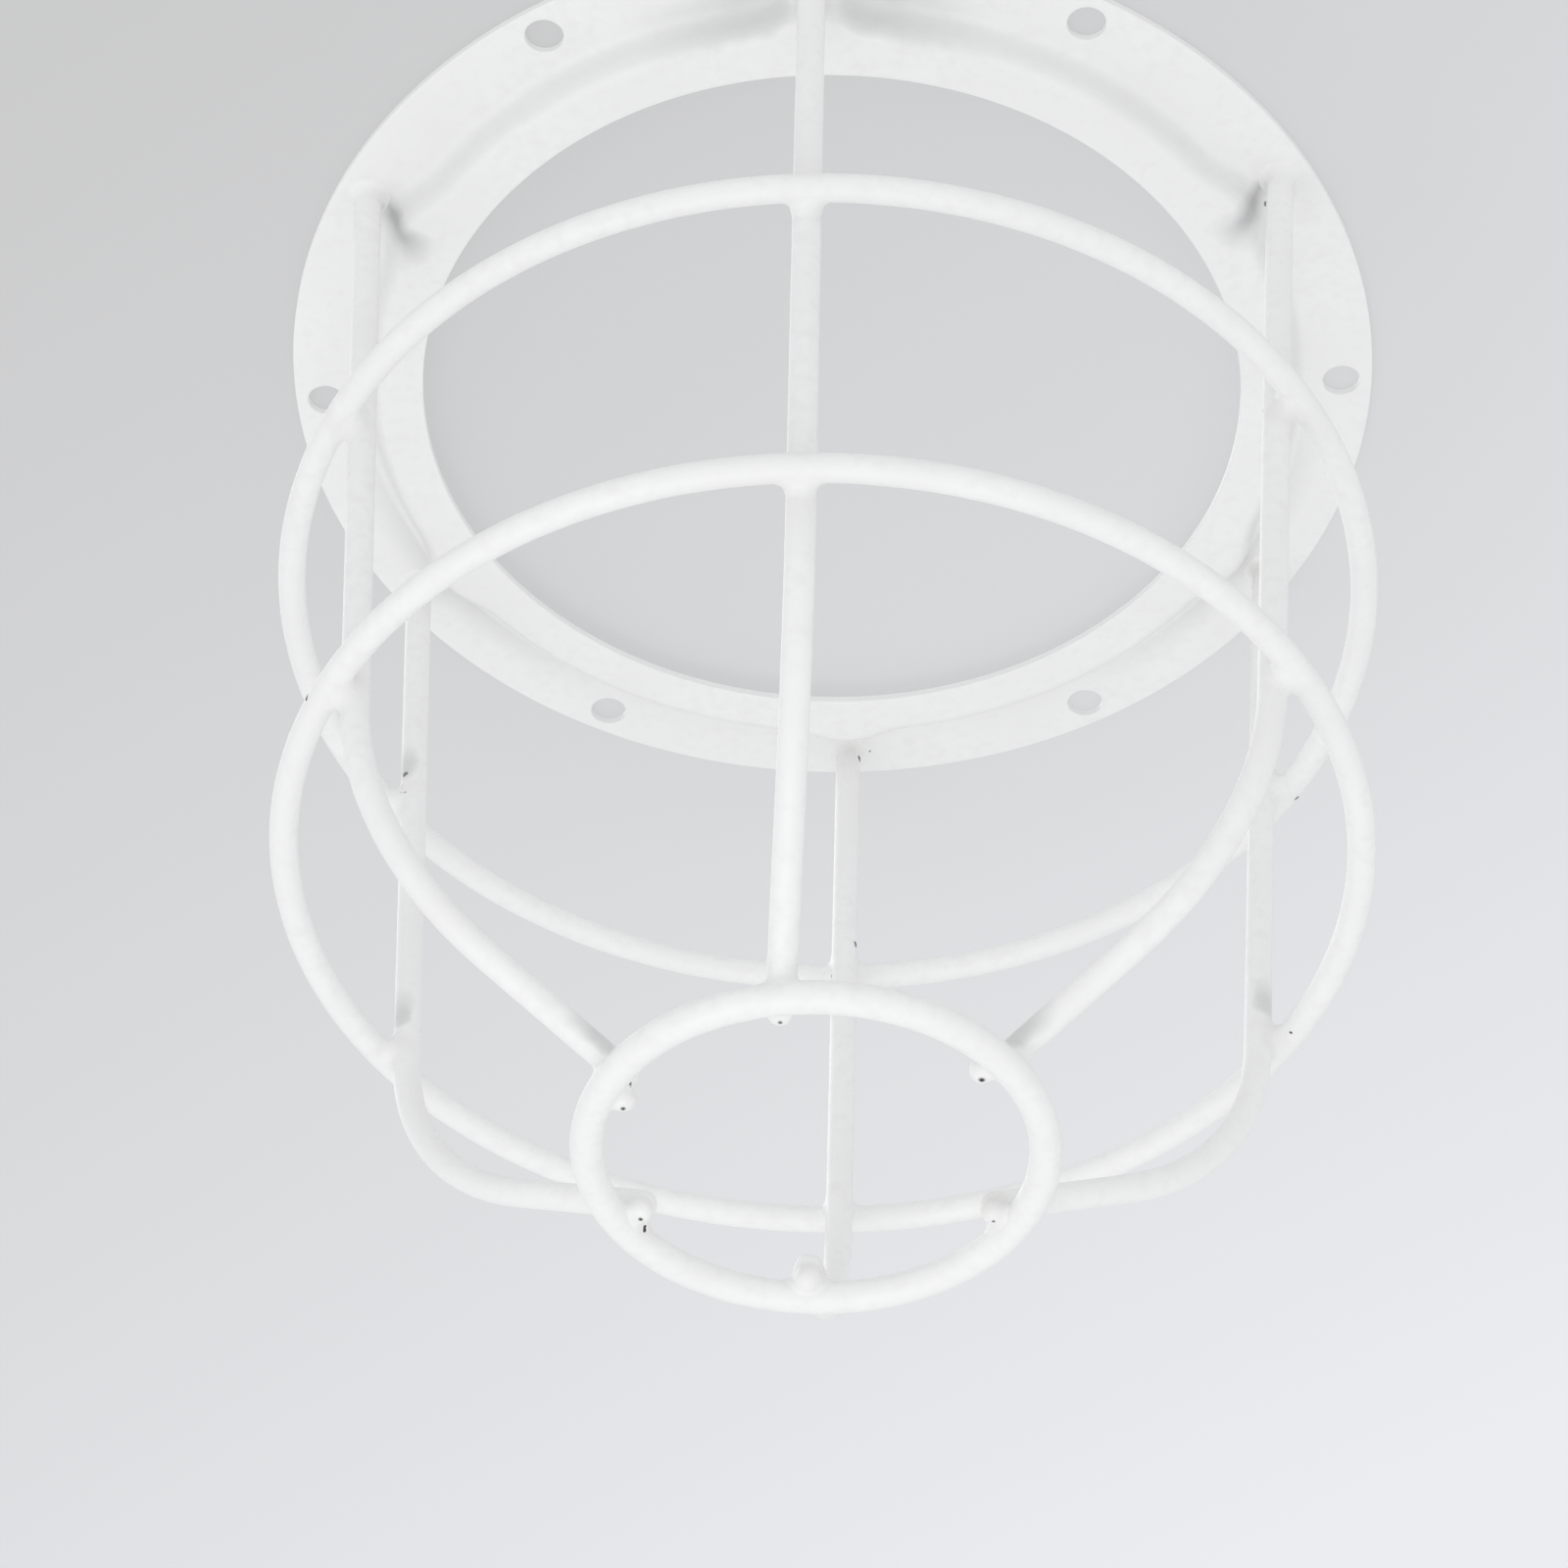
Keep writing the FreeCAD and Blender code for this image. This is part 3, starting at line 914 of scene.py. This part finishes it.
def two_arcs(share):
    """Depth of an S of two equal tangent arcs, at a share of its width."""
    if share > 0.5:
        return STEP_DROP - two_arcs(1 - share)
    radius = (STEP_WIDTH ** 2 + STEP_DROP ** 2) / (4 * STEP_DROP)
    return radius - math.sqrt(radius ** 2 - (share * STEP_WIDTH) ** 2)


def pressed_depth(x, y):
    """How far the sheet is pressed down at a point of the plan."""
    inside_step = (rim_inside - math.hypot(x, y)) / STEP_WIDTH
    nearest_bay = min(math.hypot(x - bay.x, y - bay.y) for bay in bay_centres)
    inside_bay = (BAY_RADIUS - nearest_bay) / BAY_STEP_WIDTH
    overlap = max(BLEND - abs(inside_step - inside_bay), 0) / BLEND
    inside = max(inside_step, inside_bay) + overlap ** 2 * BLEND / 4
    return two_arcs(min(max(inside, 0), 1))


print(f"pressed {pressed_depth(0, -rim_inside) / MM:.2f} mm deep at the rim's inner edge in a bay")

# %% The plan grid with its bolt holes
COLUMNS_PER_RIB = 160
RIM_ROWS, STEP_ROWS, LIP_ROWS = 16, 20, 8
HOLE_RINGS, HOLE_REACH = 5, 7

columns = RIB_COUNT * COLUMNS_PER_RIB
stretches = [(flange_radius, RIM_WIDTH, RIM_ROWS), (rim_inside, STEP_WIDTH, STEP_ROWS),
             (rim_inside - STEP_WIDTH, LIP_WIDTH, LIP_ROWS)]
radii = [start - width * row / rows for start, width, rows in stretches for row in range(rows)]
radii.append(rim_inside - STEP_WIDTH - LIP_WIDTH)


def plan_point(row, column):
    """Place of a grid point: rows run inwards, columns run round from the first rib."""
    angle = FIRST_RIB + 2 * math.pi * column / columns
    return Vector((radii[row] * math.cos(angle), radii[row] * math.sin(angle)))


def hole_ring(row, column):
    """Which square ring round the nearest bolt hole a grid point lies on, with its step from the centre."""
    down = row - RIM_ROWS // 2
    across = column % COLUMNS_PER_RIB - COLUMNS_PER_RIB // 2
    return max(abs(down), abs(across)), down, across


def drawn_round(row, column):
    """A grid point, drawn towards the bolt hole's circle if it lies near one."""
    place = plan_point(row, column)
    ring, down, across = hole_ring(row, column)
    if ring >= HOLE_REACH or ring == 0:
        return place
    centre = plan_point(row - down, column - across)
    outwards = centre.normalized()
    beside = Vector((-outwards.y, outwards.x))
    angle = math.atan2(across, -down)
    circle = centre + (outwards * math.cos(angle) + beside * math.sin(angle)) * hole_radius
    return circle.lerp(place, max(ring - HOLE_RINGS, 0) / (HOLE_REACH - HOLE_RINGS))


print("grid of", len(radii), "rows and", columns, "columns")


# %% The sheet's lower face
def flange_mesh(mesh):
    """Fill a mesh with the pressed sheet's lower face, facing down."""
    plan = [drawn_round(row, column) for row in range(len(radii)) for column in range(columns)]
    corners = [(place.x, place.y, rim_under - pressed_depth(place.x, place.y)) for place in plan]
    faces = []
    for row in range(len(radii) - 1):
        for column in range(columns):
            around = [(row, column), (row + 1, column), (row + 1, (column + 1) % columns),
                      (row, (column + 1) % columns)]
            if max(hole_ring(*corner)[0] for corner in around) > HOLE_RINGS:
                faces.append([line * columns + place for line, place in around])
    used = sorted({index for face in faces for index in face})
    renumbered = {index: place for place, index in enumerate(used)}
    mesh.from_pydata([corners[index] for index in used], [],
                     [[renumbered[index] for index in face] for face in faces])
    mesh.polygons.foreach_set("use_smooth", [True] * len(mesh.polygons))
    mesh.materials.append(flange_paint)


flange = new_piece("painted_flange")
flange_mesh(flange.data)
print("sheet faces up or down:", round(flange.data.polygons[0].normal.z))

# %% Give the sheet its thickness
thickness = flange.modifiers.new("sheet", "SOLIDIFY")
thickness.thickness = -rim_under - PAINT_INSET
thickness.offset = -1
thickness.use_even_offset = True
edges = flange.modifiers.new("sheared_edges", "BEVEL")
edges.width = EDGE_ROUND
edges.segments = 3
edges.limit_method = "ANGLE"
edges.angle_limit = math.radians(60)
dress(plain_mesh(flange), "mounting_flange")

# %% [markdown]
# ## The solids underneath
# Each solid stays in the scene, hidden, with a dressed piece that stands for it. It gets the same paint, so
# that no solid is ever shown bare.

# %% Paint the solids
for node in frame["nodes"].values():
    node.data.materials.clear()
    node.data.materials.append(wire_paint)
print("painted solids:", len(frame["nodes"]))

# %% [markdown]
# ## Camera
# The guard is seen from below, at about 45 degrees, through a long lens. The view is built from three
# directions, forward, right and up, because that makes a small roll easy: right and up turn about forward.

# %% Camera
VIEW_TURN = math.radians(3.61)
VIEW_RISE = math.radians(45.08)
VIEW_ROLL = math.radians(1.64)
VIEW_DISTANCE = 833.4 * MM
VIEW_AIM = Vector((-6.9, -0.4, -108.0)) * MM

turn = Matrix.Rotation(VIEW_TURN, 3, "Z")
forward = turn @ Vector((0, math.cos(VIEW_RISE), math.sin(VIEW_RISE)))
right = turn @ Vector((1, 0, 0))
up = right.cross(forward)
right, up = (right * math.cos(VIEW_ROLL) + up * math.sin(VIEW_ROLL),
             up * math.cos(VIEW_ROLL) - right * math.sin(VIEW_ROLL))
camera = bpy.data.objects.new("camera", bpy.data.cameras.new("camera"))
camera.data.lens = 109.5
camera.data.sensor_width = 36
camera.matrix_world = Matrix((right, up, -forward)).transposed().to_4x4()
camera.location = VIEW_AIM - forward * VIEW_DISTANCE
bpy.context.scene.collection.objects.link(camera)
bpy.context.scene.camera = camera
print("camera at", [round(value, 4) for value in camera.location])

# %% [markdown]
# ## Ceiling
# A wide pale sheet lies just above the mounting face as the ceiling. It is matt and takes the guard's
# shadow, and half of its brightness is a glow, so that the shadow stays soft. Its colour is painted a little
# darker towards the near left: a painted falloff of the daylight, which reaches less of it there. It shows
# only from below, so that views from above look past it, and it lets light through.

# %% Ceiling
CEILING_GAP = 0.2 * MM
CEILING_HALF = 3.0
CEILING_DARK = (0.592, 0.592, 0.595, 1)
CEILING_LIGHT = (0.835, 0.843, 0.865, 1)
BLACK = (0, 0, 0, 1)
CEILING_GLOW = 0.5
DAYLIGHT_WAY = Vector((0.62, 0.78, 0))
DAYLIGHT_START, DAYLIGHT_END = -150 * MM, 350 * MM


def ceiling_material():
    """Matt wall paint with a painted falloff of daylight towards the near left, that glows a little and
    shows only from below.
    """
    material = bpy.data.materials.new("ceiling_paint")
    material.use_nodes = True
    tree = material.node_tree
    tree.nodes.clear()
    place = add_node(tree, "ShaderNodeTexCoord").outputs["Object"]
    # Painted light: the colour runs from darker at the near left to lighter where more daylight falls.
    along = combine(tree, "DOT_PRODUCT", place, tuple(DAYLIGHT_WAY))
    daylight = spread(tree, along, DAYLIGHT_START, DAYLIGHT_END)
    paint = mixed(tree, daylight, CEILING_DARK, CEILING_LIGHT)
    lit = mixed(tree, CEILING_GLOW, paint, BLACK)
    matt = node_out(tree, "ShaderNodeBsdfDiffuse", {"Color": lit})
    glow = node_out(tree, "ShaderNodeEmission", {"Color": paint, "Strength": CEILING_GLOW})
    surface = node_out(tree, "ShaderNodeAddShader", {0: matt, 1: glow})
    back = add_node(tree, "ShaderNodeNewGeometry").outputs["Backfacing"]
    clear = node_out(tree, "ShaderNodeBsdfTransparent")
    one_sided = node_out(tree, "ShaderNodeMixShader", {0: back, 1: surface, 2: clear})
    add_node(tree, "ShaderNodeOutputMaterial", {"Surface": one_sided})
    return material


outline = [(-CEILING_HALF, -CEILING_HALF), (-CEILING_HALF, CEILING_HALF),
           (CEILING_HALF, CEILING_HALF), (CEILING_HALF, -CEILING_HALF)]
sheet = bpy.data.meshes.new("ceiling")
sheet.from_pydata([(x, y, CEILING_GAP) for x, y in outline], [], [(0, 1, 2, 3)])
sheet.materials.append(ceiling_material())
ceiling = bpy.data.objects.new("ceiling", sheet)
ceiling.visible_diffuse = False
ceiling.visible_shadow = False
bpy.context.scene.collection.objects.link(ceiling)
print("ceiling faces", tuple(round(value) for value in sheet.polygons[0].normal))

# %% [markdown]
# ## Light
# The room is bright and even: the world gives pale light from all sides, most of it from below and from the
# near side, and least from above, where the ceiling sends back only part of it. Straight into the camera
# and in reflections the world is shown darker, so that the white guard stands out in views that look past
# the ceiling. Two wide soft lamps give the wires their round look: one below, for the light that comes up
# from the floor, and one above, which the guard's upper side shows.

# %% Room light
ROOM_WAY = Vector((0.0, -0.5, -0.866))
ROOM_LEAST, ROOM_MOST = 0.73, 1.0
BACKDROP_STRENGTH = 0.5
ROOM_COLOUR = (0.985, 0.99, 1.0, 1)

world = bpy.data.worlds.new("room")
world.use_nodes = True
room = world.node_tree
background = room.nodes["Background"]
background.inputs["Color"].default_value = ROOM_COLOUR
direction = add_node(room, "ShaderNodeTexCoord").outputs["Generated"]
towards = combine(room, "DOT_PRODUCT", direction, tuple(ROOM_WAY))
room_range = {0: towards, 1: -1, 2: 1, 3: ROOM_LEAST, 4: ROOM_MOST}
light = node_out(room, "ShaderNodeMapRange", room_range)
rays = add_node(room, "ShaderNodeLightPath").outputs
seen = calculate(room, "MAXIMUM", rays["Is Camera Ray"], rays["Is Glossy Ray"])
seen = calculate(room, "MAXIMUM", seen, rays["Is Transmission Ray"])
strength = node_out(room, "ShaderNodeMapRange", {0: seen, 3: light, 4: BACKDROP_STRENGTH})
room.links.new(strength, background.inputs["Strength"])
bpy.context.scene.world = world
bpy.context.scene.view_settings.view_transform = "Standard"
print("room light from", ROOM_LEAST, "to", ROOM_MOST)


# %% Soft lamps
def soft_lamp(name, place, size, power):
    """A square area lamp aimed at the middle of the cage."""
    lamp = bpy.data.objects.new(name, bpy.data.lights.new(name, "AREA"))
    lamp.data.size = size
    lamp.data.energy = power
    lamp.location = place
    lamp.rotation_euler = (VIEW_AIM - Vector(place)).to_track_quat("-Z", "Y").to_euler()
    bpy.context.scene.collection.objects.link(lamp)


soft_lamp("floor_glow", place=(-0.25, -0.2, -1.15), size=0.7, power=1.6)
soft_lamp("upper_glow", place=(-0.8, 0.9, 0.9), size=0.8, power=4.5)
